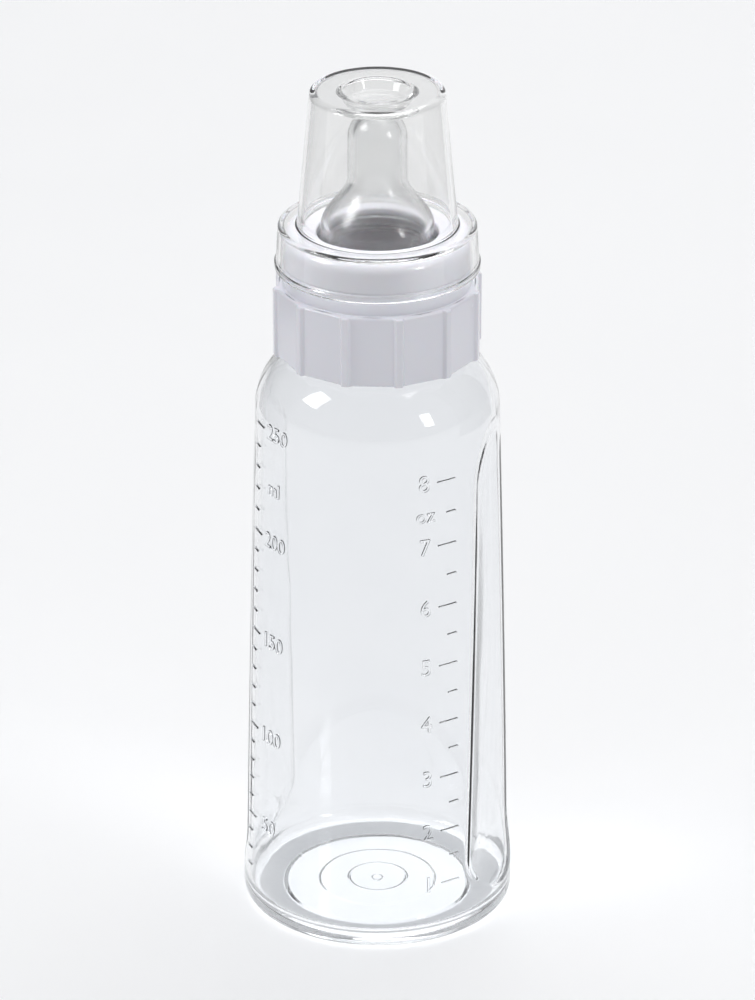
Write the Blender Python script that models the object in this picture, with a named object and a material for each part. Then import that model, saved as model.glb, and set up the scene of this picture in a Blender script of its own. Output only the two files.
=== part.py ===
"""A narrow-neck baby bottle in four pieces: clear body, silicone nipple, ribbed screw collar and clear cap.

Metres, +Z up. The origin is the middle of the base, on the surface that the bottle stands on.
The pieces share one axis: the collar screws on the neck and holds the nipple, and the cap pulls off.
"""

import math

import bmesh
import bpy

# Driving dimensions, in metres. Every radius is measured from the bottle's axis.
SEGMENTS = 40  # facets round the body and the cap
NIPPLE_SEGMENTS = 36
GAP = 0.0003  # left between two pieces that touch

# Body: a tapered side, a rounded shoulder and a straight neck
BASE_RADIUS = 0.0300
CORNER_RADIUS = 0.0043  # rounded edge of the base
SHOULDER_RADIUS = 0.0265
SHOULDER_HEIGHT = 0.1185  # where the side starts to turn in
NECK_HEIGHT = 0.1315  # where the shoulder meets the neck
RIM_HEIGHT = 0.1535
WALL = 0.0016
RING_INNER_RADIUS = 0.0210  # the standing ring runs from here to the rounded edge
BASE_RECESS = 0.0010
GATE_DISC_RADIUS = 0.0128  # a deeper disc in the middle of the base
GATE_DISC_RECESS = 0.0014
FLOOR_HEIGHT = 0.0029
FLOOR_FILLET = 0.0030
NECK_RADIUS = 0.0182
BORE_RADIUS = 0.0165
BEAD_RADIUS = 0.0191  # a low bead round the foot of the neck
BEAD_HEIGHT = 0.0027
BEAD_EDGE = 0.0006  # height of the bead's eased edges
BEAD_STEP = 0.0002  # the shoulder and the bead's top edge stop this far inside the bead
NECK_EASE = 0.0005  # height over which the bead falls to the neck's wall
BORE_EASE = 0.0001  # the bore opens by this much at its foot
RECESS_EASE = 0.0004  # radius over which a recess in the base falls to its floor
RIM_ROUNDING = 0.0006

# Grip flats: one on +X and one on -X, with an arched end at the top and the bottom
FLAT_BOTTOM = 0.0070
FLAT_TOP = 0.1165
FLAT_ARCH = 0.0110  # height of each arched end
FLAT_ANGLE_LOW = math.radians(30)  # half of the angle that a flat spans, near the base
FLAT_ANGLE_HIGH = math.radians(17)  # the same near the shoulder
ARCH_STEPS = 4
NEARLY_ZERO = 1e-6  # keeps the division by a cosine sound at the sides

# Screw thread, shared by the neck and the collar
PITCH = 0.0040
THREAD_CREST_RADIUS = 0.0192
THREAD_ROOT_HALF = 0.0010  # half of a ridge's height where it leaves the wall
THREAD_CREST_HALF = 0.00045
THREAD_EMBED = 0.0007  # how far a ridge runs into its wall, so that the union is sound
THREAD_FADE = math.radians(36)  # each end of a ridge runs out over this angle
THREAD_SINK = 0.0002  # a faded end stops this far below its wall's surface
NECK_THREAD_START = 0.1413
NECK_THREAD_TURNS = 2.1
COLLAR_THREAD_DROP = 0.0016  # the collar's ridge lies this far under the neck's
COLLAR_THREAD_LEAD = math.radians(126)  # the collar's ridge starts this far round the neck's
COLLAR_THREAD_TURNS = 1.25
COLLAR_THREAD_CLEARANCE = 0.00035  # between the collar's ridge and the neck's wall

# Nipple: flange on the rim, low bulb through the collar, straight teat
FLANGE_RADIUS = 0.0186
FLANGE_THICKNESS = 0.0030
FLANGE_EDGE = 0.0004  # bevel round the flange
SEAL_RING_RADIUS = 0.0168
SEAL_RING_HALF = 0.0004
SEAL_RING_HEIGHT = 0.0006
BULB_RADIUS = 0.0122
BULB_HEIGHT = 0.0070  # where the bulb starts to close
BULB_FILLET = 0.0014
TEAT_RADIUS = 0.0064
TEAT_FOOT_HEIGHT = 0.0178
TEAT_TIP_HEIGHT = 0.0332
NIPPLE_WALL = 0.0015
TIP_HOLE_RADIUS = 0.0004
VENT_RADIUS = 0.0005
VENT_PLACE = 0.0148  # the vent's distance from the axis, inside the bore
DRILL_REACH = 0.0020  # the vent's cutter runs this far past both faces

# Collar: ribbed skirt, smooth upper band and a flat top with the nipple's opening
COLLAR_BOTTOM = 0.1319
SKIRT_HEIGHT = 0.0158
RIDGE_COUNT = 12
RIDGE_RADIUS = 0.0228
RIDGE_FOOT_RADIUS = 0.0220
RIDGE_CREST_HALF = math.radians(2.4)
RIDGE_FOOT_HALF = math.radians(4.0)
PANEL_STEPS = 4  # facets across each flat panel between two ridges
BAND_RADIUS = 0.0204
BAND_GROOVE_HEIGHT = 0.0207  # a shallow groove halfway up the smooth band
BAND_GROOVE_DEPTH = 0.0003
BAND_TOP_RADIUS = 0.0199
COLLAR_EDGE_ROUNDING = 0.0026
LEDGE_EASE = 0.0003  # small step where the band leaves the skirt's ledge, and above the groove
GROOVE_EASE = 0.0004  # height over which the groove's upper side comes out again
SEAT_LEAD = 0.0006  # the flange's seat starts this far under the rim and narrows over as much
LID_THICKNESS = 0.0018
OPENING_RADIUS = 0.0130
COLLAR_BORE_RADIUS = 0.0195
EDGE_CHAMFER = 0.0005

# Cap: skirt over the collar, step, tapered dome and a sunken disc over the teat
CAP_OVERLAP = 0.0083
CAP_HEIGHT = 0.0400
CAP_WALL = 0.0011
CAP_SKIRT_RADIUS = 0.0218
CAP_SKIRT_TOP_RADIUS = 0.0213
CAP_LIP = 0.0003  # how far the lip at the bottom stands out
CAP_LIP_HEIGHT = 0.0012
DOME_FOOT_RADIUS = 0.0172
DOME_TOP_RADIUS = 0.0144
DOME_ROUNDING = 0.0010
DIMPLE_RADIUS = 0.0075
DIMPLE_FLOOR_RADIUS = 0.0064
DIMPLE_DEPTH = 0.0026
CAP_BEVEL = 0.0003  # bevel of the lip, the skirt's shoulder and the sunken disc's edge
CAP_FILLET = 0.0004  # fillet at the dome's foot, outside and inside
SKIRT_ROUNDING = 0.0008  # rounded upper edge of the skirt
INNER_CORNER = 0.0005  # rounded corners inside the dome

# Heights that follow from the ones above
FLANGE_BOTTOM = RIM_HEIGHT + GAP
LID_BOTTOM = FLANGE_BOTTOM + FLANGE_THICKNESS + SEAL_RING_HEIGHT + GAP
COLLAR_TOP = LID_BOTTOM + LID_THICKNESS
CAP_BOTTOM = COLLAR_TOP - CAP_OVERLAP


def clear_scene():
    for thing in list(bpy.data.objects):
        bpy.data.objects.remove(thing)


def principled(name, colour, roughness, alpha=1.0, transmission=0.0, ior=1.5):
    """A material with one Principled BSDF."""
    material = bpy.data.materials.new(name)
    material.use_nodes = True
    shader = material.node_tree.nodes["Principled BSDF"]
    shader.inputs["Base Color"].default_value = (*colour, 1.0)
    shader.inputs["Roughness"].default_value = roughness
    shader.inputs["Metallic"].default_value = 0.0
    shader.inputs["IOR"].default_value = ior
    shader.inputs["Transmission Weight"].default_value = transmission
    shader.inputs["Alpha"].default_value = alpha
    return material


def arc(centre_r, centre_z, radius, start, end, steps):
    """Points (r, z) on an arc, with angles in degrees from the +r direction."""
    angles = [math.radians(start + (end - start) * i / steps) for i in range(steps + 1)]
    return [(centre_r + radius * math.cos(a), centre_z + radius * math.sin(a)) for a in angles]


def even_angles(count):
    return [2 * math.pi * i / count for i in range(count)]


def round_ring(radius, z, angles):
    """A ring of points; a radius of zero gives the one point on the axis."""
    if radius == 0:
        return [(0.0, 0.0, z)]
    return [(radius * math.cos(a), radius * math.sin(a), z) for a in angles]


def skin(name, rings, closed, material, parent, base_z=0.0):
    """A mesh object whose rings are joined one to the next; closed also joins the last ring to the first."""
    bm = bmesh.new()
    rows = [[bm.verts.new((x, y, z - base_z)) for x, y, z in ring] for ring in rings]
    pairs = list(zip(rows, rows[1:] + rows[:1])) if closed else list(zip(rows, rows[1:]))
    for lower, upper in pairs:
        count = max(len(lower), len(upper))
        for i in range(count):
            corners = [lower[i % len(lower)], lower[(i + 1) % len(lower)]]
            corners += [upper[(i + 1) % len(upper)], upper[i % len(upper)]]
            bm.faces.new(list(dict.fromkeys(corners)))
    bmesh.ops.recalc_face_normals(bm, faces=bm.faces)
    mesh = bpy.data.meshes.new(name)
    bm.to_mesh(mesh)
    bm.free()
    mesh.shade_smooth()
    mesh.set_sharp_from_angle(angle=math.radians(35))
    piece = bpy.data.objects.new(name, mesh)
    bpy.context.scene.collection.objects.link(piece)
    piece.location.z = base_z
    piece.parent = parent
    if material is not None:
        mesh.materials.append(material)
    return piece


def combine(piece, helper, operation):
    """Adds an EXACT Boolean of a hidden helper to the piece."""
    helper.hide_render = True
    helper.display_type = "WIRE"
    modifier = piece.modifiers.new(f"{operation.lower()} {helper.name}", "BOOLEAN")
    modifier.operation = operation
    modifier.solver = "EXACT"
    modifier.object = helper


def thread_ridge(name, wall_radius, crest_radius, start_z, start_angle, turns, parent):
    """A helical ridge on a wall: outside it when the crest is wider than the wall, and inside it otherwise."""
    outward = 1 if crest_radius > wall_radius else -1
    steps = round(turns * SEGMENTS)
    embedded = wall_radius - outward * THREAD_EMBED
    sunk = wall_radius - outward * THREAD_SINK
    rings = []
    for i in range(steps + 1):
        turn = 2 * math.pi * turns * i / steps
        fade = min(1.0, min(turn, 2 * math.pi * turns - turn) / THREAD_FADE)
        crest = sunk + (crest_radius - sunk) * math.sin(fade * math.pi / 2)
        z = start_z + PITCH * turn / (2 * math.pi)
        section = [
            (embedded, z - THREAD_ROOT_HALF),
            (crest, z - THREAD_CREST_HALF),
            (crest, z + THREAD_CREST_HALF),
            (embedded, z + THREAD_ROOT_HALF),
        ]
        a = start_angle + turn
        rings.append([(r * math.cos(a), r * math.sin(a), height) for r, height in section])
    ridge = skin(name, rings, False, None, parent)
    close_ends(ridge.data)
    return ridge


def close_ends(mesh):
    """Fills the open boundary loops of a mesh and turns its faces outwards."""
    bm = bmesh.new()
    bm.from_mesh(mesh)
    bmesh.ops.holes_fill(bm, edges=[e for e in bm.edges if e.is_boundary], sides=8)
    bmesh.ops.recalc_face_normals(bm, faces=bm.faces)
    bm.to_mesh(mesh)
    bm.free()


def side_radius(z):
    """Outer radius of the tapered side at height z."""
    share = (z - CORNER_RADIUS) / (SHOULDER_HEIGHT - CORNER_RADIUS)
    return BASE_RADIUS + (SHOULDER_RADIUS - BASE_RADIUS) * share


def flat_angle(z):
    """Half of the angle that a grip flat spans at height z: zero at its two tips."""
    if not FLAT_BOTTOM < z < FLAT_TOP:
        return 0.0
    share = (z - FLAT_BOTTOM) / (FLAT_TOP - FLAT_BOTTOM)
    full = FLAT_ANGLE_LOW + (FLAT_ANGLE_HIGH - FLAT_ANGLE_LOW) * share
    along_arch = min(1.0, min(z - FLAT_BOTTOM, FLAT_TOP - z) / FLAT_ARCH)
    return full * math.sqrt(1 - (1 - along_arch) ** 2)


def side_ring(z, inset, angles):
    """A ring of the side, set in by inset: round, but straight across the two grip flats."""
    radius = side_radius(z) - inset
    flat = side_radius(z) * math.cos(flat_angle(z)) - inset  # distance of a flat from the axis
    ring = []
    for a in angles:
        r = min(radius, flat / max(abs(math.cos(a)), NEARLY_ZERO))
        ring.append((r * math.cos(a), r * math.sin(a), z))
    return ring


def flat_heights():
    """Heights of the rings that draw the two arched ends of a flat, from the bottom up."""
    quarter = [math.pi / 2 * i / ARCH_STEPS for i in range(ARCH_STEPS + 1)]
    rises = [FLAT_ARCH * (1 - math.cos(a)) for a in quarter]
    return [FLAT_BOTTOM + rise for rise in rises] + [FLAT_TOP - rise for rise in reversed(rises)]


def make_body(material, parent):
    angles = even_angles(SEGMENTS)
    heights = flat_heights()
    # The shoulder is one arc that leaves the side upright and ends at the foot of the neck's bead.
    foot_radius = BEAD_RADIUS - BEAD_STEP
    drop_in = SHOULDER_RADIUS - foot_radius
    rise = NECK_HEIGHT - SHOULDER_HEIGHT
    turned = 2 * math.atan2(drop_in, rise)
    shoulder = rise / math.sin(turned)
    centre = SHOULDER_RADIUS - shoulder
    sweep = math.degrees(turned)

    under = [
        (0, GATE_DISC_RECESS),
        (GATE_DISC_RADIUS, GATE_DISC_RECESS),
        (GATE_DISC_RADIUS + RECESS_EASE, BASE_RECESS),
        (RING_INNER_RADIUS - 2 * RECESS_EASE, BASE_RECESS),
        (RING_INNER_RADIUS, 0),
    ]
    under += arc(BASE_RADIUS - CORNER_RADIUS, CORNER_RADIUS, CORNER_RADIUS, -90, 0, 4)
    bead_top = NECK_HEIGHT + BEAD_HEIGHT
    neck = arc(centre, SHOULDER_HEIGHT, shoulder, 0, sweep, 5)
    neck += [
        (BEAD_RADIUS, NECK_HEIGHT + BEAD_EDGE),
        (BEAD_RADIUS, bead_top - BEAD_EDGE),
        (foot_radius, bead_top),
        (NECK_RADIUS, bead_top + NECK_EASE),
    ]
    neck += arc(NECK_RADIUS - RIM_ROUNDING, RIM_HEIGHT - RIM_ROUNDING, RIM_ROUNDING, 0, 90, 2)
    neck += arc(BORE_RADIUS + RIM_ROUNDING, RIM_HEIGHT - RIM_ROUNDING, RIM_ROUNDING, 90, 180, 2)
    neck += [(BORE_RADIUS, bead_top), (BORE_RADIUS + BORE_EASE, NECK_HEIGHT + BEAD_EDGE)]
    neck += arc(centre, SHOULDER_HEIGHT, shoulder - WALL, sweep, 0, 5)
    floor_edge = side_radius(FLOOR_HEIGHT + FLOOR_FILLET) - WALL - FLOOR_FILLET
    floor = arc(floor_edge, FLOOR_HEIGHT + FLOOR_FILLET, FLOOR_FILLET, 0, -90, 3)
    floor += [(0, FLOOR_HEIGHT)]

    rings = [round_ring(r, z, angles) for r, z in under]
    rings += [side_ring(z, 0, angles) for z in heights]
    rings += [round_ring(r, z, angles) for r, z in neck]
    rings += [side_ring(z, WALL, angles) for z in reversed(heights)]
    rings += [round_ring(r, z, angles) for r, z in floor]
    body = skin("bottle_body", rings, False, material, parent)
    ridge = thread_ridge(
        "neck_thread_helper",
        NECK_RADIUS,
        THREAD_CREST_RADIUS,
        NECK_THREAD_START,
        0,
        NECK_THREAD_TURNS,
        parent,
    )
    combine(body, ridge, "UNION")
    return body


def nipple_outline(inset):
    """The bulb and the teat, from the foot of the bulb to the tip's hole, set in by inset."""
    points = [(BULB_RADIUS - inset, BULB_HEIGHT)]
    # The bulb closes along an S between its full width and the foot of the teat.
    steps = 8
    for i in range(1, steps + 1):
        share = i / steps
        eased = share * share * (3 - 2 * share)
        radius = BULB_RADIUS + (TEAT_RADIUS - BULB_RADIUS) * eased
        points.append((radius - inset, BULB_HEIGHT + (TEAT_FOOT_HEIGHT - BULB_HEIGHT) * share))
    tip = TEAT_RADIUS - inset
    hole = math.degrees(math.acos(TIP_HOLE_RADIUS / tip))
    points += arc(0, TEAT_TIP_HEIGHT - TEAT_RADIUS, tip, 0, hole, 5)
    return points


def make_nipple(material, parent):
    angles = even_angles(NIPPLE_SEGMENTS)
    ring_top = FLANGE_THICKNESS + SEAL_RING_HEIGHT
    flange = [
        (BULB_RADIUS - NIPPLE_WALL, 0),
        (FLANGE_RADIUS - FLANGE_EDGE, 0),
        (FLANGE_RADIUS, FLANGE_EDGE),
        (FLANGE_RADIUS, FLANGE_THICKNESS - FLANGE_EDGE),
        (FLANGE_RADIUS - FLANGE_EDGE, FLANGE_THICKNESS),
        (SEAL_RING_RADIUS + 2 * SEAL_RING_HALF, FLANGE_THICKNESS),
        (SEAL_RING_RADIUS + SEAL_RING_HALF, ring_top),
        (SEAL_RING_RADIUS - SEAL_RING_HALF, ring_top),
        (SEAL_RING_RADIUS - 2 * SEAL_RING_HALF, FLANGE_THICKNESS),
    ]
    fillet_z = FLANGE_THICKNESS + BULB_FILLET
    flange += arc(BULB_RADIUS + BULB_FILLET, fillet_z, BULB_FILLET, 270, 180, 2)
    outline = flange + nipple_outline(0) + nipple_outline(NIPPLE_WALL)[::-1]
    rings = [round_ring(r, z + FLANGE_BOTTOM, angles) for r, z in outline]
    nipple = skin("nipple", rings, True, material, parent, FLANGE_BOTTOM)
    # A pin-sized vent through the flange, inside the rim, lets air into the bottle.
    low = -DRILL_REACH
    high = FLANGE_THICKNESS + DRILL_REACH
    drill = [(0, low), (VENT_RADIUS, low), (VENT_RADIUS, high), (0, high)]
    rings = [round_ring(r, z + FLANGE_BOTTOM, even_angles(10)) for r, z in drill]
    cutter = skin("vent_helper", rings, False, None, parent, FLANGE_BOTTOM)
    cutter.location.y = -VENT_PLACE
    combine(nipple, cutter, "DIFFERENCE")
    return nipple


def skirt_angles():
    """Angles round the collar: the four edges of each ridge and the facets of the panel beside it."""
    sector = 2 * math.pi / RIDGE_COUNT
    panel = sector - 2 * RIDGE_FOOT_HALF
    within = [-RIDGE_FOOT_HALF, -RIDGE_CREST_HALF, RIDGE_CREST_HALF, RIDGE_FOOT_HALF]
    within += [RIDGE_FOOT_HALF + panel * i / PANEL_STEPS for i in range(1, PANEL_STEPS)]
    return [sector * k + a for k in range(RIDGE_COUNT) for a in within]


def skirt_ring(z, inset, angles):
    """A ring of the ribbed skirt: ridges that stand out and a flat panel between each two."""
    sector = 2 * math.pi / RIDGE_COUNT
    flat = RIDGE_FOOT_RADIUS * math.cos(sector / 2 - RIDGE_FOOT_HALF)
    ring = []
    for a in angles:
        from_ridge = abs((a + sector / 2) % sector - sector / 2)
        if from_ridge < (RIDGE_CREST_HALF + RIDGE_FOOT_HALF) / 2:
            radius = RIDGE_RADIUS - inset
        else:
            radius = flat / math.cos(sector / 2 - from_ridge) - inset
        ring.append((radius * math.cos(a), radius * math.sin(a), z))
    return ring


def make_collar(material, parent):
    angles = skirt_angles()
    ledge = COLLAR_BOTTOM + SKIRT_HEIGHT
    groove = COLLAR_BOTTOM + BAND_GROOVE_HEIGHT
    rounding = COLLAR_EDGE_ROUNDING
    seat_radius = FLANGE_RADIUS + GAP
    seat_bottom = RIM_HEIGHT - SEAT_LEAD
    band = [
        (BAND_RADIUS + LEDGE_EASE, ledge),
        (BAND_RADIUS, ledge + LEDGE_EASE),
        (BAND_RADIUS, groove - LEDGE_EASE),
        (BAND_RADIUS - BAND_GROOVE_DEPTH, groove),
        (BAND_RADIUS - BAND_GROOVE_DEPTH / 2, groove + GROOVE_EASE),
    ]
    band += arc(BAND_TOP_RADIUS - rounding, COLLAR_TOP - rounding, rounding, 0, 90, 4)
    inside = [
        (OPENING_RADIUS + EDGE_CHAMFER, COLLAR_TOP),
        (OPENING_RADIUS, COLLAR_TOP - EDGE_CHAMFER),
        (OPENING_RADIUS, LID_BOTTOM),
        (seat_radius, LID_BOTTOM),
        (seat_radius, seat_bottom),
        (COLLAR_BORE_RADIUS, seat_bottom - SEAT_LEAD),
        (COLLAR_BORE_RADIUS, COLLAR_BOTTOM + EDGE_CHAMFER),
        (COLLAR_BORE_RADIUS + EDGE_CHAMFER / 2, COLLAR_BOTTOM),
    ]
    rings = [
        skirt_ring(COLLAR_BOTTOM, EDGE_CHAMFER, angles),
        skirt_ring(COLLAR_BOTTOM + EDGE_CHAMFER, 0, angles),
        skirt_ring(ledge - EDGE_CHAMFER, 0, angles),
        skirt_ring(ledge, EDGE_CHAMFER, angles),
    ]
    rings += [round_ring(r, z, angles) for r, z in band + inside]
    collar = skin("collar_ring", rings, True, material, parent, COLLAR_BOTTOM)
    # The collar's ridge follows the neck's helix, a set distance under it.
    crest = NECK_RADIUS + COLLAR_THREAD_CLEARANCE
    lead = COLLAR_THREAD_LEAD
    start_z = NECK_THREAD_START - COLLAR_THREAD_DROP + PITCH * lead / (2 * math.pi)
    ridge = thread_ridge(
        "collar_thread_helper",
        COLLAR_BORE_RADIUS,
        crest,
        start_z,
        lead,
        COLLAR_THREAD_TURNS,
        parent,
    )
    combine(collar, ridge, "UNION")
    return collar


def make_cap(material, parent):
    angles = even_angles(SEGMENTS)
    step_under = CAP_OVERLAP + GAP
    step_top = step_under + CAP_WALL
    inner_foot = DOME_FOOT_RADIUS - CAP_WALL
    dome_top = CAP_HEIGHT - CAP_WALL
    dimple_floor = CAP_HEIGHT - DIMPLE_DEPTH
    outside = [
        (CAP_SKIRT_RADIUS - CAP_WALL, 0),
        (CAP_SKIRT_RADIUS + CAP_LIP, 0),
        (CAP_SKIRT_RADIUS + CAP_LIP, CAP_LIP_HEIGHT),
        (CAP_SKIRT_RADIUS, CAP_LIP_HEIGHT + CAP_BEVEL),
        (CAP_SKIRT_TOP_RADIUS, step_top - SKIRT_ROUNDING),
        (CAP_SKIRT_TOP_RADIUS - CAP_BEVEL, step_top - CAP_BEVEL),
        (CAP_SKIRT_TOP_RADIUS - SKIRT_ROUNDING, step_top),
        (DOME_FOOT_RADIUS + CAP_FILLET, step_top),
        (DOME_FOOT_RADIUS, step_top + CAP_FILLET),
    ]
    rounding_z = CAP_HEIGHT - DOME_ROUNDING
    outside += arc(DOME_TOP_RADIUS - DOME_ROUNDING, rounding_z, DOME_ROUNDING, 0, 90, 3)
    outside += [
        (DIMPLE_RADIUS + CAP_BEVEL, CAP_HEIGHT),
        (DIMPLE_RADIUS, CAP_HEIGHT - CAP_BEVEL),
        (DIMPLE_FLOOR_RADIUS, dimple_floor),
        (0, dimple_floor),
    ]
    inside = [
        (0, dimple_floor - CAP_WALL),
        (DIMPLE_FLOOR_RADIUS + INNER_CORNER, dimple_floor - CAP_WALL),
        (DIMPLE_RADIUS + CAP_WALL, dome_top),
        (DOME_TOP_RADIUS - CAP_WALL - INNER_CORNER, dome_top),
        (DOME_TOP_RADIUS - CAP_WALL, dome_top - INNER_CORNER),
        (inner_foot, step_under + CAP_FILLET),
        (inner_foot + CAP_FILLET, step_under),
        (CAP_SKIRT_TOP_RADIUS - CAP_WALL, step_under),
    ]
    rings = [round_ring(r, z + CAP_BOTTOM, angles) for r, z in inside + outside]
    return skin("cap", rings, False, material, parent, CAP_BOTTOM)


def main():
    clear_scene()
    assembly = bpy.data.objects.new("baby_bottle", None)
    bpy.context.scene.collection.objects.link(assembly)
    clear_body = principled("clear_body_plastic", (0.96, 0.97, 0.98), 0.05, 0.35, 1.0)
    silicone = principled("clear_silicone", (0.95, 0.95, 0.95), 0.18, 0.45, 0.9, 1.41)
    white = principled("white_plastic", (0.90, 0.90, 0.93), 0.25)
    clear_cap = principled("clear_cap_plastic", (0.97, 0.97, 0.97), 0.05, 0.30, 1.0, 1.49)
    make_body(clear_body, assembly)
    make_nipple(silicone, assembly)
    make_collar(white, assembly)
    make_cap(clear_cap, assembly)


main()
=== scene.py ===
import math

import bmesh
import bpy
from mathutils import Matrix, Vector


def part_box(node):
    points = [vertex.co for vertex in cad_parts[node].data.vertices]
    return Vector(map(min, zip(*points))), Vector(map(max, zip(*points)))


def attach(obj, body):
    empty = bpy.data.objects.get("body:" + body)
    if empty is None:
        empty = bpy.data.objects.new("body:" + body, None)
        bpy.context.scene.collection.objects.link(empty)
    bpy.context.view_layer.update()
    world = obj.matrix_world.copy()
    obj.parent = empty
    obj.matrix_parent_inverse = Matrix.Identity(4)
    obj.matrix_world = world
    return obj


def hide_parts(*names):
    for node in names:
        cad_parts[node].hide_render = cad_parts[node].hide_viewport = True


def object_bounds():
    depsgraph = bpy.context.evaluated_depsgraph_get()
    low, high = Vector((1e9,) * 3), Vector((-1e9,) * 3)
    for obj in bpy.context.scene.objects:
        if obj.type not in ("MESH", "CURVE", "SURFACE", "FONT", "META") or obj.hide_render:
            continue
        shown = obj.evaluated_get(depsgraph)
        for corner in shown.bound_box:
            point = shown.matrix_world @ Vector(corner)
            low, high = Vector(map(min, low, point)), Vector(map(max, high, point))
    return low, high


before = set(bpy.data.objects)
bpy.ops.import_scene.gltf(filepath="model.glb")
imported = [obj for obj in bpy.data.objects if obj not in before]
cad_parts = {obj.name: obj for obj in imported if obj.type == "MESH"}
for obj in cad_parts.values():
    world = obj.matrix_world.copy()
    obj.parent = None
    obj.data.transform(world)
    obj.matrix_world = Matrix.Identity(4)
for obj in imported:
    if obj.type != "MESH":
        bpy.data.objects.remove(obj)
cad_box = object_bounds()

# A clear baby bottle: body, nipple, screw collar and cap, each built finely in place of its CAD node.
# Metres, +Z up. Every radius is measured from the bottle's axis.
BODY_LOW, BODY_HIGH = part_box("bottle_body")
NIPPLE_LOW, NIPPLE_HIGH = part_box("nipple")
COLLAR_LOW, COLLAR_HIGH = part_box("collar_ring")
CAP_LOW, CAP_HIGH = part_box("cap")

# Body
BASE_RADIUS = BODY_HIGH.y
RIM_HEIGHT = BODY_HIGH.z
CORNER_RADIUS = 0.0043
SHOULDER_RADIUS = 0.0265
SHOULDER_HEIGHT = 0.1185
NECK_HEIGHT = 0.1315
WALL = 0.0016
STANDING_RING_RADIUS = 0.0210
BASE_RECESS = 0.0010
GATE_DISC_RADIUS = 0.0128
GATE_DISC_RECESS = 0.0014
FLOOR_HEIGHT = 0.0029
FLOOR_FILLET = 0.0030
NECK_RADIUS = 0.0182
BORE_RADIUS = 0.0165
BEAD_RADIUS = 0.0191
BEAD_TOP = NECK_HEIGHT + 0.0027

# Grip flats on +X and -X
FLAT_BOTTOM = 0.0070
FLAT_TOP = 0.1165
FLAT_ARCH = 0.0110
FLAT_ANGLE_LOW = math.radians(30)
FLAT_ANGLE_HIGH = math.radians(17)
ARCH_STEPS = 28  # rows and columns of an arched end; the flat's outline runs through their crossings
MIDDLE_STEPS = 22  # rows between the two arched ends
ROUND_STEPS = 40  # columns between the two flats, on each side
NEAR_CREASE = (0.00002, 0.00007, 0.00014, 0.00025, 0.0004, 0.0007, 0.0012)  # columns just outside a flat
BELOW_FLAT = (0.0004, 0.0002, 0.00008)  # rows just past a flat's lower tip, and its upper one
ABOVE_FLAT = (0.00008, 0.0002, 0.0004, 0.0007, 0.0011, 0.0015, 0.0019)
CREASE_SOFTNESS = 0.0002
INNER_CREASE_SOFTNESS = 0.0006
SMALLEST_COSINE = 0.3  # keeps the flats' division sound at the front and the back

# Screw thread
PITCH = 0.0040
THREAD_HEIGHT = 0.0010
THREAD_CREST_HALF = 0.00038
THREAD_FOOT_HALF = 0.00088
THREAD_FADE = math.radians(36)
NECK_THREAD_START = 0.1413
NECK_THREAD_TURNS = 2.1
COLLAR_THREAD_LEAD = math.radians(126)
COLLAR_THREAD_START = NECK_THREAD_START - 0.0016
COLLAR_THREAD_TURNS = 1.25
COLLAR_THREAD_HEIGHT = 0.00095

# Collar
COLLAR_BORE_RADIUS = 0.0195
COLLAR_LEDGE = COLLAR_LOW.z + 0.0158
RIDGE_COUNT = 12
RIDGE_RADIUS = 0.0228
RIDGE_FOOT_RADIUS = 0.0220
RIDGE_CREST_HALF = math.radians(1.5)
RIDGE_FOOT_HALF = math.radians(3.2)
BAND_RADIUS = 0.0204
BAND_TOP_RADIUS = 0.0199
BAND_GROOVE = COLLAR_LOW.z + 0.0207
OPENING_RADIUS = 0.0130
LID_BOTTOM = COLLAR_HIGH.z - 0.0018

QUARTER = math.pi / 2


def fillets(corners, longest=0.004):
    """A fine line (r, z) through corners (r, z, fillet radius), with rows close beside each fillet."""
    count = len(corners)
    line = []
    for i, (r, z, fillet) in enumerate(corners):
        corner = Vector((r, z))
        if i in (0, count - 1) or fillet == 0:
            line.append(corner)
            continue
        before = Vector(corners[i - 1][:2]) - corner
        after = Vector(corners[i + 1][:2]) - corner
        opening = before.angle(after)
        reach = min(fillet / math.tan(opening / 2), before.length * 0.45, after.length * 0.45)
        radius = reach * math.tan(opening / 2)
        before.normalize()
        after.normalize()
        centre = corner + (before + after).normalized() * (radius / math.sin(opening / 2))
        start = corner + before * reach - centre
        end = corner + after * reach - centre
        turn = math.pi - opening
        steps = max(2, math.ceil(math.degrees(turn) / 15))
        beside = min(reach * 0.25, 0.00015)
        line.append(corner + before * (reach + beside))
        for k in range(steps + 1):
            share = k / steps
            a = math.sin((1 - share) * turn) / math.sin(turn)
            b = math.sin(share * turn) / math.sin(turn)
            line.append(centre + start * a + end * b)
        line.append(corner + after * (reach + beside))
    fine = line[:1]
    for point, following in zip(line, line[1:]):
        step = following - point
        parts = max(1, math.ceil(step.length / longest))
        fine += [point + step * (k / parts) for k in range(1, parts + 1)]
    return [(p.x, p.y) for p in fine]


def arc(centre_r, centre_z, radius, start, end, steps):
    """Points (r, z) on an arc, with angles in degrees from the +r direction."""
    angles = [math.radians(start + (end - start) * i / steps) for i in range(steps + 1)]
    return [(centre_r + radius * math.cos(a), centre_z + radius * math.sin(a)) for a in angles]


def ring(z, angles, radii):
    return [(r * math.cos(a), r * math.sin(a), z) for a, r in zip(angles, radii)]


def round_ring(radius, z, angles):
    """A ring of points, or the one point on the axis where the radius is zero."""
    if radius <= 0:
        return [(0.0, 0.0, z)]
    return ring(z, angles, [radius] * len(angles))


def even_angles(count):
    return [2 * math.pi * i / count for i in range(count)]


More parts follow.
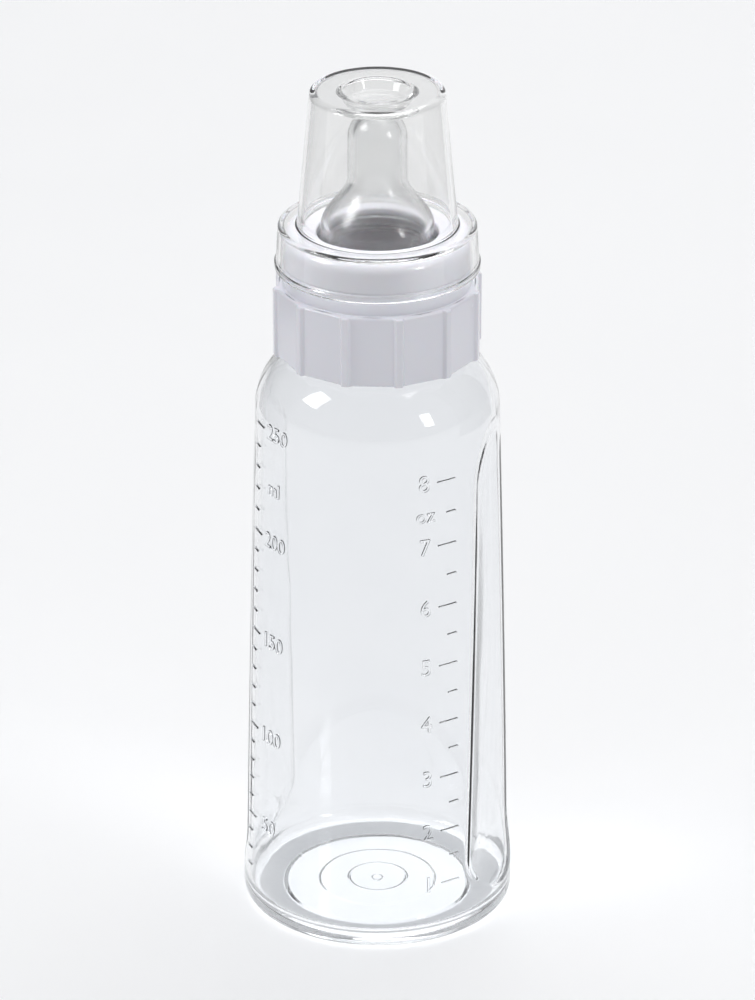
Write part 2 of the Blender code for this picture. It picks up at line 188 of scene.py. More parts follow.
def skin(name, rings, closed, creases=()):
    """A mesh object through rings of points. A quad that a crease crosses is split along the crease."""
    verts = []
    rows = []
    for points in rings:
        rows.append(range(len(verts), len(verts) + len(points)))
        verts += points
    crossed = set(creases)
    faces = []
    pairs = list(zip(rows, rows[1:]))
    if closed:
        pairs.append((rows[-1], rows[0]))
    for low, high in pairs:
        count = max(len(low), len(high))
        for i in range(count):
            a, b = low[i % len(low)], low[(i + 1) % len(low)]
            d, c = high[i % len(high)], high[(i + 1) % len(high)]
            if a in crossed and c in crossed and b not in crossed and d not in crossed:
                faces += [(a, b, c), (a, c, d)]
            elif b in crossed and d in crossed and a not in crossed and c not in crossed:
                faces += [(a, b, d), (b, c, d)]
            else:
                faces.append(tuple(dict.fromkeys((a, b, c, d))))
    mesh = bpy.data.meshes.new(name)
    mesh.from_pydata(verts, [], faces)
    bm = bmesh.new()
    bm.from_mesh(mesh)
    bmesh.ops.recalc_face_normals(bm, faces=bm.faces)
    bm.to_mesh(mesh)
    bm.free()
    mesh.shade_smooth()
    piece = bpy.data.objects.new(name, mesh)
    bpy.context.scene.collection.objects.link(piece)
    return piece


def apply_boolean(piece, helper, operation):
    """Applies an EXACT Boolean of the helper to the piece, then removes the helper."""
    modifier = piece.modifiers.new(operation.lower(), "BOOLEAN")
    modifier.operation = operation
    modifier.solver = "EXACT"
    modifier.object = helper
    bpy.context.view_layer.update()
    graph = bpy.context.evaluated_depsgraph_get()
    result = bpy.data.meshes.new_from_object(piece.evaluated_get(graph))
    piece.modifiers.clear()
    piece.data = result
    bpy.data.objects.remove(helper)
    result.shade_smooth()
    result.set_sharp_from_angle(angle=math.radians(42))


def thread_rise(angle, z, start_z, start_angle, turns):
    """How much of a thread's full height stands at this angle and height: 0 off the ridge, 1 on its crest."""
    whole = 2 * math.pi * turns
    highest = 0.0
    turned = (angle - start_angle) % (2 * math.pi)
    while turned <= whole:
        off = abs(z - start_z - PITCH * turned / (2 * math.pi))
        if off < THREAD_FOOT_HALF:
            share = (THREAD_FOOT_HALF - off) / (THREAD_FOOT_HALF - THREAD_CREST_HALF)
            share = min(1.0, share)
            rise = share * share * (3 - 2 * share)
            fade = min(1.0, min(turned, whole - turned) / THREAD_FADE)
            highest = max(highest, rise * math.sin(fade * QUARTER))
        turned += 2 * math.pi
    return highest


# ---------------------------------------------------------------- body


def side_share(z):
    """0 at the bottom of the grip flats, 1 at their top."""
    return min(1.0, max(0.0, (z - FLAT_BOTTOM) / (FLAT_TOP - FLAT_BOTTOM)))


def side_radius(z):
    share = (z - CORNER_RADIUS) / (SHOULDER_HEIGHT - CORNER_RADIUS)
    return BASE_RADIUS + (SHOULDER_RADIUS - BASE_RADIUS) * share


def full_angle(z):
    return FLAT_ANGLE_LOW + (FLAT_ANGLE_HIGH - FLAT_ANGLE_LOW) * side_share(z)


def flat_angle_squared(z):
    """The square of half the angle that a grip flat spans at height z, below zero past the flat's tips."""
    along = min(1.0, min(z - FLAT_BOTTOM, FLAT_TOP - z) / FLAT_ARCH)
    return full_angle(z) ** 2 * (1 - (1 - along) ** 2)


def flat_angle(z):
    """Half of the angle that a grip flat spans at height z: zero at its two tips and past them."""
    return math.sqrt(max(0.0, flat_angle_squared(z)))


def body_angles(z):
    """Angles of the body's columns at height z. Those at a flat follow its edges, which lean inwards."""
    full = full_angle(z)
    inside = [full * math.sin(QUARTER * i / ARCH_STEPS) for i in range(-ARCH_STEPS, ARCH_STEPS + 1)]
    near = [full + d / BASE_RADIUS for d in NEAR_CREASE]
    span = math.pi - 2 * near[-1]
    between = [near[-1] + span * i / ROUND_STEPS for i in range(1, ROUND_STEPS)]
    half = inside + near + between + [math.pi - a for a in reversed(near)]
    return half + [a + math.pi for a in half]


def side_radii(z, angles, inset, softness):
    """Radii of a ring of the side: round, straight across the flats, a little rounded at their edges."""
    radius = side_radius(z)
    squared = flat_angle_squared(z)
    flat = radius * (math.cos(math.sqrt(squared)) if squared > 0 else 1 - squared / 2)
    radii = []
    for a in angles:
        across = flat / max(abs(math.cos(a)), SMALLEST_COSINE)
        overlap = max(0.0, softness - abs(radius - across)) / softness
        radii.append(min(radius, across) - overlap * overlap * softness / 4 - inset)
    return radii


def side_heights():
    """Heights of the side's rows, close together where the flats' outline runs across."""
    rises = [FLAT_ARCH * (1 - math.cos(QUARTER * i / ARCH_STEPS)) for i in range(ARCH_STEPS + 1)]
    lower = [FLAT_BOTTOM + rise for rise in rises]
    upper = [FLAT_TOP - rise for rise in reversed(rises)]
    middle = [lower[-1] + (upper[0] - lower[-1]) * i / MIDDLE_STEPS for i in range(1, MIDDLE_STEPS)]
    return lower + middle + upper


def make_body():
    rows = []
    creases = []

    def add_round(points):
        for r, z in points:
            rows.append(round_ring(r, z, body_angles(z)))

    def add_side(heights, inset, softness):
        for z in heights:
            angles = body_angles(z)
            if FLAT_BOTTOM <= z <= FLAT_TOP:
                first = sum(len(row) for row in rows)
                edge = flat_angle(z)
                for i, a in enumerate(angles):
                    from_flat = abs((a + QUARTER) % math.pi - QUARTER)
                    if abs(from_flat - edge) < 1e-7:
                        creases.append(first + i)
            rows.append(ring(z, angles, side_radii(z, angles, inset, softness)))

    gate = [
        (0, GATE_DISC_RECESS - 0.0006, 0),
        (0.0011, GATE_DISC_RECESS - 0.0006, 0.0003),
        (0.0013, GATE_DISC_RECESS, 0.0002),
        (0.0060, GATE_DISC_RECESS, 0.0002),
        (0.0064, GATE_DISC_RECESS + 0.0002, 0.0002),
        (0.0068, GATE_DISC_RECESS, 0.0002),
        (GATE_DISC_RADIUS, GATE_DISC_RECESS, 0.0003),
        (GATE_DISC_RADIUS + 0.0004, BASE_RECESS, 0.0003),
        (STANDING_RING_RADIUS - 0.0008, BASE_RECESS, 0.0005),
        (STANDING_RING_RADIUS, 0, 0.0005),
        (BASE_RADIUS, 0, CORNER_RADIUS),
        (side_radius(FLAT_BOTTOM - 0.0006), FLAT_BOTTOM - 0.0006, 0),
    ]
    add_round(fillets(gate))
    above_flat = [FLAT_TOP + off for off in ABOVE_FLAT]
    add_side([FLAT_BOTTOM - off for off in BELOW_FLAT], 0, CREASE_SOFTNESS)
    add_side(side_heights() + above_flat, 0, CREASE_SOFTNESS)

    foot = BEAD_RADIUS - 0.0002
    rise = NECK_HEIGHT - SHOULDER_HEIGHT
    turned = 2 * math.atan2(SHOULDER_RADIUS - foot, rise)
    shoulder = rise / math.sin(turned)
    centre = SHOULDER_RADIUS - shoulder
    sweep = math.degrees(turned)
    add_round(arc(centre, SHOULDER_HEIGHT, shoulder, 0, sweep * 0.985, 22))
    bead = [
        (foot, NECK_HEIGHT, 0),
        (BEAD_RADIUS, NECK_HEIGHT + 0.0006, 0.0005),
        (BEAD_RADIUS, BEAD_TOP - 0.0006, 0.0005),
        (foot - 0.0001, BEAD_TOP, 0.0003),
        (NECK_RADIUS, BEAD_TOP + 0.0005, 0.0005),
        (NECK_RADIUS, BEAD_TOP + 0.0016, 0),
    ]
    add_round(fillets(bead))
    low, high = BEAD_TOP + 0.0018, RIM_HEIGHT - 0.0009
    count = round((high - low) / 0.00021)
    for k in range(count + 1):
        z = low + (high - low) * k / count
        angles = body_angles(z)
        rises = [thread_rise(a, z, NECK_THREAD_START, 0, NECK_THREAD_TURNS) for a in angles]
        rows.append(ring(z, angles, [NECK_RADIUS + THREAD_HEIGHT * r for r in rises]))
    rim = [
        (NECK_RADIUS, high + 0.0001, 0),
        (NECK_RADIUS, RIM_HEIGHT, 0.0006),
        (BORE_RADIUS, RIM_HEIGHT, 0.0006),
        (BORE_RADIUS, BEAD_TOP, 0),
        (BORE_RADIUS + 0.0001, NECK_HEIGHT + 0.0006, 0),
    ]
    add_round(fillets(rim))
    add_round(arc(centre, SHOULDER_HEIGHT, shoulder - WALL, sweep, 0, 20))
    add_side((side_heights() + above_flat)[::-1], WALL, INNER_CREASE_SOFTNESS)
    top = FLOOR_HEIGHT + FLOOR_FILLET
    edge = side_radius(top) - WALL - FLOOR_FILLET
    floor = arc(edge, top, FLOOR_FILLET, 0, -90, 12)
    floor += [(r, FLOOR_HEIGHT) for r in (edge - 0.0003, edge * 0.66, edge * 0.33, 0)]
    add_round(floor)
    return skin("bottle_shell", rows, False, creases)


# ---------------------------------------------------------------- volume scale on the body

SCALE_PROUD = 0.00036
SCALE_EMBED = 0.0005
ML_ANGLE = math.radians(-134)
OZ_ANGLE = math.radians(-46)
ML_PER_OZ = 29.57
LINE_HALF = 0.00018


def height_of(volume_ml):
    """Height that a filling reaches in the body."""
    step = 0.0002
    z = FLOOR_HEIGHT
    left = volume_ml * 1e-6
    while left > 0:
        inner = side_radius(z) - WALL
        alpha = flat_angle(z)
        area = inner * inner * (math.pi - 2 * alpha + math.sin(2 * alpha))
        left -= area * step
        z += step
    return z


def on_side(x, y, depth, angle, z):
    """A point x along the surface and y up from (angle, z), raised from the side by depth."""
    height = z + y
    radius = side_radius(height)
    a = angle + x / radius
    out = radius + depth
    return (out * math.cos(a), out * math.sin(a), height)


def mark_line(bm, x_low, x_high, angle, z):
    """A raised line with bevelled long edges and round ends, bent to the side."""
    section = [
        (-LINE_HALF, -SCALE_EMBED),
        (LINE_HALF, -SCALE_EMBED),
        (LINE_HALF, SCALE_PROUD * 0.6),
        (LINE_HALF * 0.55, SCALE_PROUD),
        (-LINE_HALF * 0.55, SCALE_PROUD),
        (-LINE_HALF, SCALE_PROUD * 0.6),
    ]
    parts = max(3, round((x_high - x_low) / 0.0008))
    stations = [(x_low - 0.0001, 0.5)]
    stations += [(x_low + (x_high - x_low) * k / parts, 1.0) for k in range(parts + 1)]
    stations += [(x_high + 0.0001, 0.5)]
    rows = []
    for x, width in stations:
        rows.append([bm.verts.new(on_side(x, y * width, d, angle, z)) for y, d in section])
    for low, high in zip(rows, rows[1:]):
        for i in range(len(section)):
            j = (i + 1) % len(section)
            bm.faces.new((low[i], low[j], high[j], high[i]))
    bm.faces.new(rows[0][::-1])
    bm.faces.new(rows[-1])


def label(bm, words, size, x, angle, z):
    """Raised lettering, centred on x and z and bent to the side."""
    curve = bpy.data.curves.new("label", "FONT")
    curve.body = words
    curve.size = size
    curve.align_x = "CENTER"
    curve.align_y = "CENTER"
    curve.resolution_u = 3
    curve.extrude = (SCALE_PROUD + SCALE_EMBED) / 2
    helper = bpy.data.objects.new("label", curve)
    bpy.context.scene.collection.objects.link(helper)
    bpy.context.view_layer.update()
    graph = bpy.context.evaluated_depsgraph_get()
    mesh = bpy.data.meshes.new_from_object(helper.evaluated_get(graph))
    letters = bmesh.new()
    letters.from_mesh(mesh)
    bmesh.ops.remove_doubles(letters, verts=letters.verts, dist=1e-7)
    middle = (SCALE_PROUD - SCALE_EMBED) / 2
    for v in letters.verts:
        v.co = on_side(x + v.co.x, v.co.y, middle + v.co.z, angle, z)
    bent = bpy.data.meshes.new("label")
    letters.to_mesh(bent)
    letters.free()
    bm.from_mesh(bent)
    bpy.data.objects.remove(helper)


def add_scale(body):
    """The two volume scales, in millilitres and in ounces, moulded on the front of the body."""
    bm = bmesh.new()
    for volume in range(20, 251, 10):
        z = height_of(volume)
        if volume % 50 == 0:
            mark_line(bm, -0.0062, -0.0020, ML_ANGLE, z)
            label(bm, str(volume), 0.0050, 0.0036, ML_ANGLE, z)
        else:
            mark_line(bm, -0.0062, -0.0040, ML_ANGLE, z)
    label(bm, "ml", 0.0046, 0.0030, ML_ANGLE, height_of(225))
    for ounces in range(1, 9):
        z = height_of(ounces * ML_PER_OZ)
        mark_line(bm, 0.0012, 0.0056, OZ_ANGLE, z)
        label(bm, str(ounces), 0.0054, -0.0020, OZ_ANGLE, z)
        half = height_of((ounces - 0.5) * ML_PER_OZ)
        if ounces > 1:
            mark_line(bm, 0.0034, 0.0056, OZ_ANGLE, half)
    label(bm, "oz", 0.0046, -0.0018, OZ_ANGLE, height_of(7.5 * ML_PER_OZ))
    bmesh.ops.recalc_face_normals(bm, faces=bm.faces)
    mesh = bpy.data.meshes.new("scale_marks")
    bm.to_mesh(mesh)
    bm.free()
    marks = bpy.data.objects.new("scale_marks", mesh)
    bpy.context.scene.collection.objects.link(marks)
    apply_boolean(body, marks, "UNION")


# ---------------------------------------------------------------- nipple


def make_nipple():
    foot = NIPPLE_LOW.z
    flange, thick, wall = 0.0186, 0.0030, 0.0015
    bulb, teat = 0.0122, 0.0064
    bulb_top, teat_foot = 0.0070, 0.0178
    tip = NIPPLE_HIGH.z - foot

    def outline(inset):
        steps = 40
        points = []
        for i in range(steps + 1):
            share = i / steps
            eased = share * share * (3 - 2 * share)
            points.append((bulb + (teat - bulb) * eased - inset, bulb_top + (teat_foot - bulb_top) * share))
        radius = teat - inset
        straight = tip - teat - teat_foot
        points += [(radius, teat_foot + straight * k / 6) for k in range(1, 6)]
        hole = math.degrees(math.acos(0.0004 / radius))
        points += arc(0, tip - teat, radius, 0, hole, 22)
        return points

    under = [
        (bulb - wall, 0.0040, 0),
        (bulb - wall, 0, 0.0006),
        (0.0140, 0, 0.0002),
        (0.0143, 0.0003, 0.0002),
        (0.0154, 0.0003, 0.0002),
        (0.0157, 0, 0.0002),
        (flange, 0, 0.0006),
        (flange, thick, 0.0006),
        (0.0176, thick, 0.0003),
        (0.0172, thick + 0.0006, 0.0003),
        (0.0164, thick + 0.0006, 0.0003),
        (0.0160, thick, 0.0003),
        (bulb, thick, 0.0014),
        (bulb, bulb_top - 0.0004, 0),
    ]
    line = fillets(under, longest=0.0015) + outline(0) + outline(wall)[::-1]
    angles = even_angles(144)
    nipple = skin("nipple_skin", [round_ring(r, z + foot, angles) for r, z in line], True)
    drill = [(0, -0.001), (0.0005, -0.001), (0.0005, thick + 0.001), (0, thick + 0.001)]
    vent = skin("vent", [round_ring(r, z + foot, even_angles(28)) for r, z in drill], False)
    vent.data.transform(((1, 0, 0, 0), (0, 1, 0, -0.0148), (0, 0, 1, 0), (0, 0, 0, 1)))
    apply_boolean(nipple, vent, "DIFFERENCE")
    return nipple


# ---------------------------------------------------------------- collar


def collar_angles():
    """Columns round the collar, close together at each grip ridge."""
    sector = 2 * math.pi / RIDGE_COUNT
    ridge = [RIDGE_FOOT_HALF * 1.15 * k / 11 for k in range(-11, 12)]
    rest = sector - 2 * ridge[-1]
    panel = [ridge[-1] + rest * k / 9 for k in range(1, 9)]
    return [sector * n + a for n in range(RIDGE_COUNT) for a in ridge + panel]


def skirt_radius(angle):
    """Radius of the ribbed skirt: narrow rounded ridges and a flat panel between each two."""
    sector = 2 * math.pi / RIDGE_COUNT
    flat = RIDGE_FOOT_RADIUS * math.cos(sector / 2 - RIDGE_FOOT_HALF)
    off = abs((angle + sector / 2) % sector - sector / 2)
    panel = flat / math.cos(sector / 2 - off)
    share = min(1.0, max(0.0, (RIDGE_FOOT_HALF - off) / (RIDGE_FOOT_HALF - RIDGE_CREST_HALF)))
    eased = share * share * (3 - 2 * share)
    return panel + (RIDGE_RADIUS - panel) * eased


def make_collar():
    angles = collar_angles()
    skirt = [skirt_radius(a) for a in angles]
    bottom, top = COLLAR_LOW.z, COLLAR_HIGH.z
    edge = 0.0006
    steps = 6

    def rounded_edge(height, way):
        """Rings round an edge of the skirt at this height, from its wall inwards."""
        rings = []
        for k in range(steps + 1):
            a = QUARTER * k / steps
            radii = [r - edge * (1 - math.cos(a)) for r in skirt]
            rings.append(ring(height + way * edge * (1 - math.sin(a)), angles, radii))
        return rings

    rows = rounded_edge(bottom, 1)[::-1]
    for k in range(steps + 1):
        z = bottom + edge + 0.0002 + (COLLAR_LEDGE - bottom - 2 * edge - 0.0004) * k / steps
        rows.append(ring(z, angles, skirt))
    rows += rounded_edge(COLLAR_LEDGE, -1)
    round_edge = BAND_RADIUS + 0.0007
    for share in (0.3, 0.8):
        radii = [(r - edge) * (1 - share) + round_edge * share for r in skirt]
        rows.append(ring(COLLAR_LEDGE, angles, radii))
    seat = 0.0189
    seat_bottom = RIM_HEIGHT - 0.0006
    band = [
        (round_edge, COLLAR_LEDGE, 0),
        (BAND_RADIUS, COLLAR_LEDGE, 0.0004),
        (BAND_RADIUS, BAND_GROOVE - 0.0003, 0.0002),
        (BAND_RADIUS - 0.0003, BAND_GROOVE, 0.0002),
        (BAND_RADIUS - 0.0001, BAND_GROOVE + 0.0004, 0.0002),
        (BAND_TOP_RADIUS, top, 0.0026),
        (OPENING_RADIUS, top, 0.0005),
        (OPENING_RADIUS, LID_BOTTOM, 0.0003),
        (seat, LID_BOTTOM, 0.0002),
        (seat, seat_bottom, 0.0003),
        (COLLAR_BORE_RADIUS, seat_bottom - 0.0006, 0.0003),
        (COLLAR_BORE_RADIUS, seat_bottom - 0.0016, 0),
    ]
    rows += [round_ring(r, z, angles) for r, z in fillets(band, longest=0.0025)]
    high, low = seat_bottom - 0.0018, bottom + 0.0009
    count = round((high - low) / 0.00024)
    for k in range(count + 1):
        z = high + (low - high) * k / count
        start = COLLAR_THREAD_START + PITCH * COLLAR_THREAD_LEAD / (2 * math.pi)
        rises = [thread_rise(a, z, start, COLLAR_THREAD_LEAD, COLLAR_THREAD_TURNS) for a in angles]
        rows.append(ring(z, angles, [COLLAR_BORE_RADIUS - COLLAR_THREAD_HEIGHT * r for r in rises]))
    lead_in = 0.0004
    inner_edge = arc(COLLAR_BORE_RADIUS + lead_in, bottom + lead_in, lead_in, 180, 270, 5)
    rows += [round_ring(r, z, angles) for r, z in inner_edge]
    return skin("collar_shell", rows, True)


# ---------------------------------------------------------------- cap


def make_cap():
    base, height = CAP_LOW.z, CAP_HIGH.z - CAP_LOW.z
    wall = 0.0011
    skirt, skirt_top, lip = 0.0218, 0.0213, 0.0221
    under = 0.0086
    step = under + wall
    foot, top = 0.0172, 0.0144
    dimple, dimple_floor, depth = 0.0075, 0.0064, 0.0026
    floor = height - depth
    corners = [
        (0, floor - wall, 0),
        (dimple_floor + 0.0005, floor - wall, 0.0004),
        (dimple + wall, height - wall, 0.0006),
        (top - wall, height - wall, 0.0008),
        (foot - wall, under, 0.0005),
        (skirt_top - wall, under, 0.0004),
        (skirt - wall, 0, 0.0002),
        (lip, 0, 0.0003),
        (lip, 0.0012, 0.0002),
        (skirt, 0.0015, 0.0002),
        (skirt_top, step, 0.0008),
        (foot, step, 0.0007),
        (top, height, 0.0011),
        (dimple, height, 0.0005),
        (dimple_floor, floor, 0.0006),
        (0, floor, 0),
    ]
    angles = even_angles(168)
    line = fillets(corners, longest=0.003)
    return skin("cap_shell", [round_ring(r, z + base, angles) for r, z in line], False)


# ---------------------------------------------------------------- materials


class Nodes:
    """A material's node tree, with short ways to add and link nodes."""

    def __init__(self, name):
        self.material = bpy.data.materials.new(name)
        self.material.use_nodes = True
        self.tree = self.material.node_tree
        self.shader = self.tree.nodes["Principled BSDF"]
        self.output = self.tree.nodes["Material Output"]
        self.place = self.add("ShaderNodeTexCoord").outputs["Object"]

    def add(self, kind, **settings):
        node = self.tree.nodes.new(kind)
        for key, value in settings.items():
            setattr(node, key, value)
        return node

    def link(self, source, target):
        self.tree.links.new(source, target)

    def noise(self, scale, detail=3.0, roughness=0.5, stretch=(1, 1, 1)):
        """A noise from 0 to 1, its scale in features per metre, stretched along the axes."""
        mapping = self.add("ShaderNodeMapping")
        mapping.inputs["Scale"].default_value = stretch
        texture = self.add("ShaderNodeTexNoise")
        texture.inputs["Scale"].default_value = scale
        texture.inputs["Detail"].default_value = detail
        texture.inputs["Roughness"].default_value = roughness
        self.link(self.place, mapping.inputs["Vector"])
        self.link(mapping.outputs["Vector"], texture.inputs["Vector"])
        return texture.outputs["Fac"]

    def spread(self, source, low, high, from_low=0.3, from_high=0.7):
        """The source's values from from_low to from_high, spread over low to high."""
        node = self.add("ShaderNodeMapRange")
        ends = {"From Min": from_low, "From Max": from_high, "To Min": low, "To Max": high}
        for key, value in ends.items():
            node.inputs[key].default_value = value
        self.link(source, node.inputs["Value"])
        return node.outputs["Result"]

    def math(self, operation, a, b):
        node = self.add("ShaderNodeMath", operation=operation)
        for socket, value in zip(node.inputs, (a, b)):
            if isinstance(value, (int, float)):
                socket.default_value = value
            else:
                self.link(value, socket)
        return node.outputs["Value"]

    def blend(self, share, a, b):
        """A colour between a and b."""
        node = self.add("ShaderNodeMix", data_type="RGBA")
        for socket in node.inputs:
            if socket.name == "A" and socket.type == "RGBA":
                socket.default_value = (*a, 1)
            if socket.name == "B" and socket.type == "RGBA":
                socket.default_value = (*b, 1)
        self.link(share, node.inputs["Factor"])
        return next(s for s in node.outputs if s.type == "RGBA")

    def bump(self, height, distance, strength=1.0, after=None):
        node = self.add("ShaderNodeBump")
        node.inputs["Strength"].default_value = strength
        node.inputs["Distance"].default_value = distance
        self.link(height, node.inputs["Height"])
        if after is not None:
            self.link(after, node.inputs["Normal"])
        return node.outputs["Normal"]

    def let_lamps_through(self, tint):
        """Lamps shine through the clear plastic, a little dimmed, so that its shadow stays light."""
        clear = self.add("ShaderNodeBsdfTransparent")
        clear.inputs["Color"].default_value = (*tint, 1)
        path = self.add("ShaderNodeLightPath")
        mix = self.add("ShaderNodeMixShader")
        self.link(path.outputs["Is Shadow Ray"], mix.inputs["Fac"])
        self.link(self.shader.outputs["BSDF"], mix.inputs[1])
        self.link(clear.outputs["BSDF"], mix.inputs[2])
        self.link(mix.outputs["Shader"], self.output.inputs["Surface"])


def clear_plastic(name, light, dark, ior, smooth, worn, wave, lamp_tint):
    """Clear moulded plastic: faint flow waves, fine handling scratches and a slight colour drift."""
    n = Nodes(name)
    s = n.shader
    s.inputs["Transmission Weight"].default_value = 1.0
    s.inputs["IOR"].default_value = ior
    drift = n.spread(n.noise(26, 3), 0, 1)
    n.link(n.blend(drift, light, dark), s.inputs["Base Color"])
    patches = n.spread(n.noise(55, 4, 0.6), 0, 1, 0.45, 0.75)
    scratches = n.spread(n.noise(900, 2, 0.6, (1, 1, 0.06)), 0, 1, 0.62, 0.75)
    wear = n.math("ADD", n.math("MULTIPLY", scratches, 0.6), n.math("MULTIPLY", patches, 0.4))
    n.link(n.spread(wear, smooth, worn, 0, 1), s.inputs["Roughness"])
    flow = n.bump(n.noise(70, 2, 0.4, (1, 1, 0.35)), wave)
    n.link(n.bump(scratches, 0.000004, 0.6, flow), s.inputs["Normal"])
    n.let_lamps_through(lamp_tint)
    return n.material


def silicone(name):
    """Clear silicone: softer gloss than plastic, with a powdery haze in patches."""
    n = Nodes(name)
    s = n.shader
    s.inputs["Transmission Weight"].default_value = 1.0
    s.inputs["IOR"].default_value = 1.41
    drift = n.spread(n.noise(60, 3), 0, 1)
    n.link(n.blend(drift, (0.97, 0.97, 0.965), (0.93, 0.935, 0.94)), s.inputs["Base Color"])
    haze = n.spread(n.noise(120, 4, 0.6), 0.09, 0.17)
    n.link(haze, s.inputs["Roughness"])
    skin_bump = n.bump(n.noise(900, 3, 0.6), 0.000012, 0.5)
    n.link(n.bump(n.noise(90, 2), 0.00010, 0.5, skin_bump), s.inputs["Normal"])
    n.let_lamps_through((0.9, 0.9, 0.9))
    return n.material


def white_plastic(name):
    """Cool white moulded plastic: glossy, very slightly mottled, with fine handling scratches all over it."""
    n = Nodes(name)
    s = n.shader
    s.inputs["IOR"].default_value = 1.5
    s.inputs["Subsurface Weight"].default_value = 0.08
    s.inputs["Subsurface Scale"].default_value = 0.002
    drift = n.spread(n.noise(45, 4), 0, 1)
    n.link(n.blend(drift, (0.86, 0.86, 0.92), (0.84, 0.84, 0.905)), s.inputs["Base Color"])
    mottled = n.spread(n.noise(160, 3, 0.5), 0.19, 0.24)
    scratches = n.spread(n.noise(900, 2, 0.6, (1, 1, 0.1)), 0, 0.05, 0.64, 0.78)
    n.link(n.math("ADD", mottled, scratches), s.inputs["Roughness"])
    s.inputs["Coat Weight"].default_value = 0.35
    s.inputs["Coat Roughness"].default_value = 0.08
    grain = n.bump(n.noise(2600, 2, 0.5), 0.000003, 0.5)
    n.link(n.bump(n.noise(70, 1), 0.00002, 0.5, grain), s.inputs["Normal"])
    return n.material


def finish_piece(piece, material, body, node):
    piece.data.materials.clear()
    piece.data.materials.append(material)
    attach(piece, body)
    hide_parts(node)


body = make_body()
add_scale(body)
clear_body = clear_plastic(
    "clear_body_finish",
    light=(0.95, 0.957, 0.965),
    dark=(0.925, 0.935, 0.947),
    ior=1.5,
    smooth=0.015,
    worn=0.1,
    wave=0.00022,
    lamp_tint=(0.93, 0.935, 0.94),
)
clear_cap = clear_plastic(
    "clear_cap_finish",
    light=(0.955, 0.955, 0.95),
    dark=(0.93, 0.932, 0.928),
    ior=1.49,
    smooth=0.02,
    worn=0.11,
    wave=0.00012,
    lamp_tint=(0.93, 0.93, 0.93),
)
finish_piece(body, clear_body, "bottle", "bottle_body")
finish_piece(make_nipple(), silicone("silicone_finish"), "nipple", "nipple")
finish_piece(make_collar(), white_plastic("white_finish"), "collar", "collar_ring")
finish_piece(make_cap(), clear_cap, "cap", "cap")


# ---------------------------------------------------------------- studio


def sweep(name, profile, width):
    """A sheet of paper that runs along y and turns up behind the object."""
    bm = bmesh.new()
    rows = [[bm.verts.new((x, y, z)) for x in (-width / 2, 0, width / 2)] for y, z in profile]
    for low, high in zip(rows, rows[1:]):
        for i in range(2):
            bm.faces.new((low[i], low[i + 1], high[i + 1], high[i]))
    mesh = bpy.data.meshes.new(name)
    bm.to_mesh(mesh)
    bm.free()
    mesh.shade_smooth()
    piece = bpy.data.objects.new(name, mesh)
    bpy.context.scene.collection.objects.link(piece)
    return piece


def paper(name, light, dark):
    n = Nodes(name)
    drift = n.spread(n.noise(3, 2), 0, 1)
    n.link(n.blend(drift, light, dark), n.shader.inputs["Base Color"])
    n.link(n.spread(n.noise(20, 2), 0.55, 0.7), n.shader.inputs["Roughness"])
    return n.material


def area_light(name, place, target, size, size_y, power, colour=(1, 1, 1)):
    lamp = bpy.data.lights.new(name, "AREA")
    lamp.shape = "RECTANGLE"
    lamp.size = size
    lamp.size_y = size_y
    lamp.energy = power
    lamp.color = colour
    holder = bpy.data.objects.new(name, lamp)
    bpy.context.scene.collection.objects.link(holder)
    holder.location = place
    holder.rotation_euler = (Vector(target) - Vector(place)).to_track_quat("-Z", "Y").to_euler()


height = cad_box[1][2]
middle = Vector((0, 0, height * 0.5))
floor_profile = [(-3.0, 0), (-1.0, 0), (0, 0), (1.1, 0)]
floor_profile += arc(1.1, 0.8, 0.8, -90, 0, 16)[1:]
floor_profile += [(1.9, 3.0)]
floor = sweep("studio_floor", floor_profile, 6.0)
floor.data.materials.append(paper("floor_paper", (0.93, 0.93, 0.935), (0.91, 0.91, 0.915)))


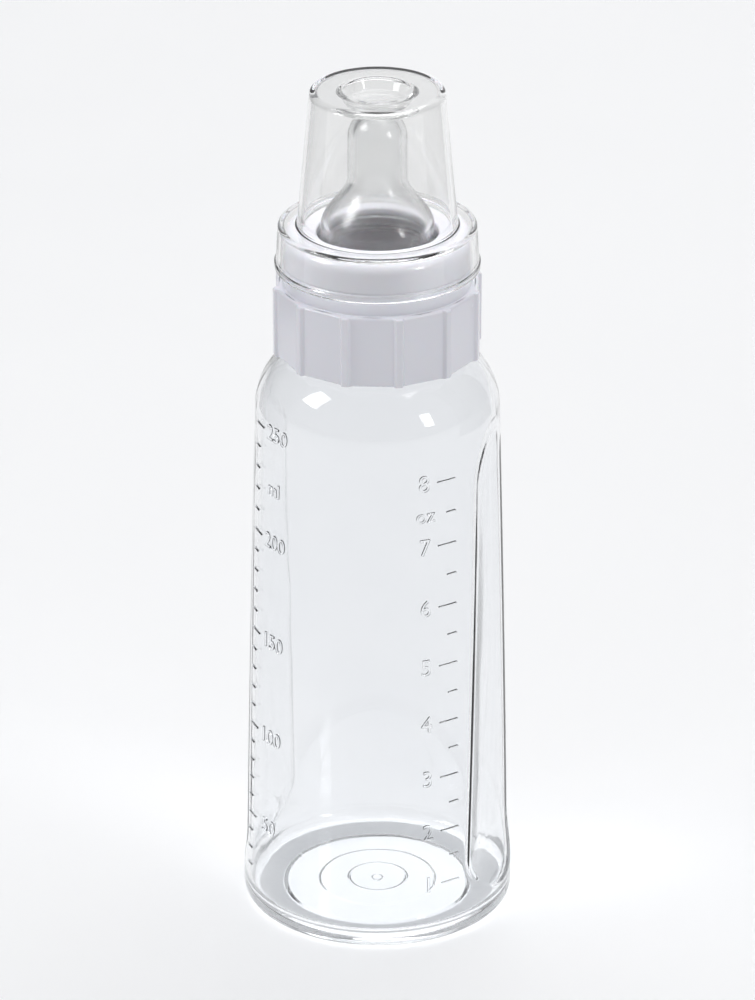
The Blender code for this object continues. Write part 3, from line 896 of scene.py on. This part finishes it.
def card(name, x, y, z, width, tall, turn, tone):
    """An upright dark card beside the object, seen only in reflections, to outline the clear plastic."""
    bm = bmesh.new()
    across = Vector((math.cos(turn), math.sin(turn), 0)) * width / 2
    corners = []
    for side, up in ((-1, 0), (1, 0), (1, 1), (-1, 1)):
        corners.append(bm.verts.new(Vector((x, y, z)) + across * side + Vector((0, 0, tall * up))))
    bm.faces.new(corners)
    mesh = bpy.data.meshes.new(name)
    bm.to_mesh(mesh)
    bm.free()
    piece = bpy.data.objects.new(name, mesh)
    bpy.context.scene.collection.objects.link(piece)
    piece.data.materials.append(paper(name + "_paper", (tone,) * 3, (tone * 0.8,) * 3))
    piece.visible_camera = False
    piece.visible_transmission = False
    piece.visible_diffuse = False
    piece.visible_shadow = False
    return piece


card("left_card", -0.34, 0.04, 0.0, 0.34, 0.60, math.radians(80), 0.03)
card("right_card", 0.32, 0.20, 0.0, 0.34, 0.60, math.radians(116), 0.03)

world = bpy.data.worlds.new("studio")
bpy.context.scene.world = world
world.use_nodes = True
background = world.node_tree.nodes["Background"]
background.inputs["Color"].default_value = (0.95, 0.97, 1.0, 1)
background.inputs["Strength"].default_value = 0.30

area_light("key_softbox", (-0.85, -0.45, 0.95), middle, 0.36, 0.5, 4.5)
area_light("right_window", (0.9, -0.35, 0.5), middle, 0.14, 0.36, 1.4)
area_light("overhead", (0.1, 0.75, 1.9), (0, 0.75, 0), 2.0, 1.6, 24)

AZIMUTH = math.radians(18)
ELEVATION = math.radians(25)
DISTANCE = 1.2
camera = bpy.data.cameras.new("camera")
camera.lens = 198
camera.sensor_width = 36
camera.clip_start = 0.05
holder = bpy.data.objects.new("camera", camera)
bpy.context.scene.collection.objects.link(holder)
toward = Vector(
    (
        math.sin(AZIMUTH) * math.cos(ELEVATION),
        -math.cos(AZIMUTH) * math.cos(ELEVATION),
        math.sin(ELEVATION),
    )
)
holder.location = middle + toward * DISTANCE
holder.rotation_euler = (-toward).to_track_quat("-Z", "Y").to_euler()
bpy.context.scene.camera = holder

scene = bpy.context.scene
scene.view_settings.view_transform = "Standard"
scene.cycles.max_bounces = 24
scene.cycles.transmission_bounces = 24
scene.cycles.transparent_max_bounces = 32
scene.cycles.glossy_bounces = 8
